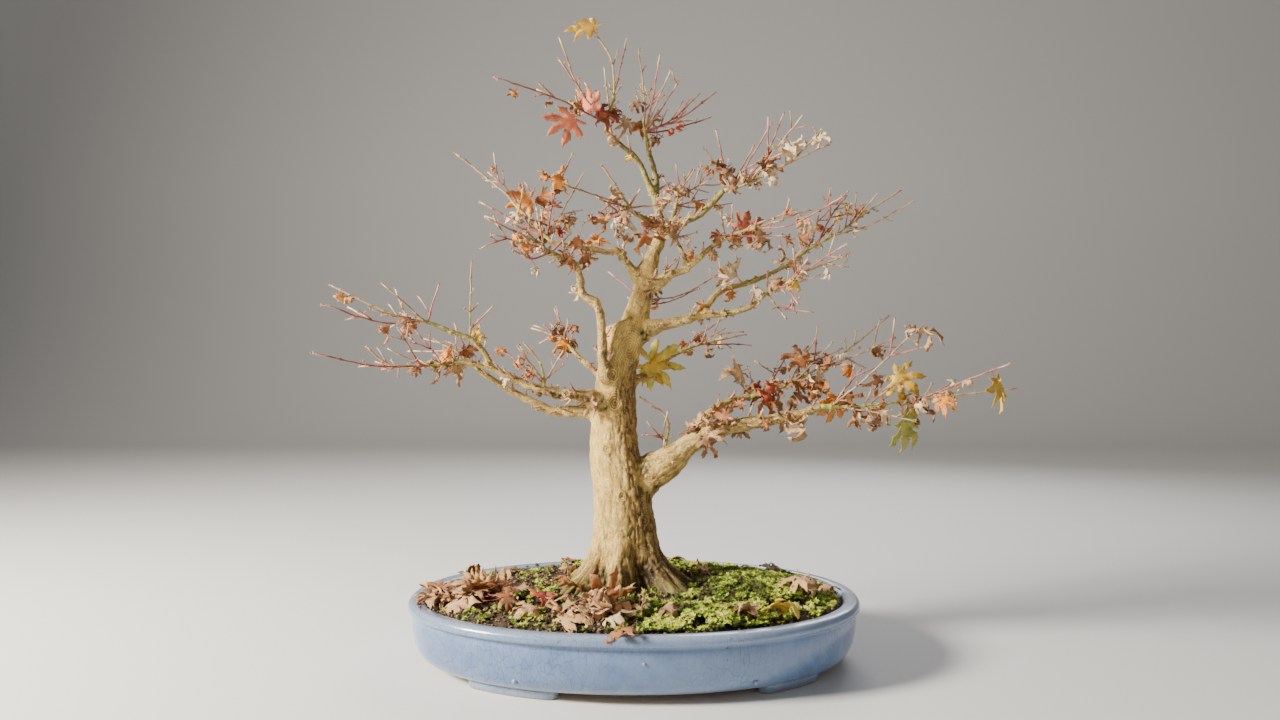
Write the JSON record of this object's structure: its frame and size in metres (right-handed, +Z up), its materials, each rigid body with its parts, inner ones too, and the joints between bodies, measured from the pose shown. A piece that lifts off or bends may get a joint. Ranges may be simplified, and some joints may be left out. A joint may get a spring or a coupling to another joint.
{
  "type": "japanese maple bonsai in an oval pot",
  "caption": "Nearly bare broadleaf bonsai with a tapering trunk, spreading boughs and a few withered leaves, in a shallow oval footed pot with moss.",
  "frame": {"origin": "middle of the whole plant's outline seen from above, at the height of the surface that the pot's feet stand on", "axes": "+X along the pot's length and the crown's spread, to the right as the viewer sees it; +Y away from the viewer, across the pot; +Z up"},
  "size_m": [0.6302, 0.336, 0.5934],
  "materials": {
    "pot": "gloss crackle glaze",
    "soil": "crumbly",
    "moss": "soft cushion",
    "dry_leaves": "dry",
    "bark": "rough bark",
    "twigs": "satin"
  },
  "bodies": {
    "root": {"bough_back_high": "bark", "bough_back_left": "bark", "bough_back_low": "bark", "bough_back_right": "bark", "bough_crown_front": "bark", "bough_crown_right": "bark", "bough_low_left_lower": "bark", "bough_low_left_rising": "bark", "bough_low_left_upper": "bark", "bough_low_right": "bark", "bough_low_right_arch": "bark", "bough_mid_right": "bark", "bough_mid_right_lower": "bark", "bough_mid_right_upper": "bark", "bough_riser": "bark", "bough_riser_upper": "bark", "bough_upper_left": "bark", "bough_upper_left_outer": "bark", "bough_upper_right": "bark", "bough_upper_right_inner": "bark", "bough_upper_right_outer": "bark", "fallen_leaves_front": "dry_leaves", "fallen_leaves_left": "dry_leaves", "leader": "bark", "leader_left": "bark", "leader_top": "bark", "moss_back": "moss", "moss_front": "moss", "moss_left": "moss", "moss_right": "moss", "pot": "pot", "soil": "soil", "trunk": "bark", "twigs_apex_left": "twigs", "twigs_apex_top": "twigs", "twigs_back_high": "twigs", "twigs_back_left": "twigs", "twigs_back_low": "twigs", "twigs_back_right": "twigs", "twigs_crown_front": "twigs", "twigs_crown_right": "twigs", "twigs_left_crown_high": "twigs", "twigs_left_crown_low": "twigs", "twigs_low_left_back": "twigs", "twigs_low_left_inner": "twigs", "twigs_low_left_rise": "twigs", "twigs_low_left_tip": "twigs", "twigs_low_left_upright": "twigs", "twigs_low_right_arch": "twigs", "twigs_low_right_spur": "twigs", "twigs_low_right_tip": "twigs", "twigs_mid_right_lower": "twigs", "twigs_mid_right_upper": "twigs", "twigs_upper_right": "twigs", "twigs_upper_right_inner": "twigs"}
  },
  "joints": []
}
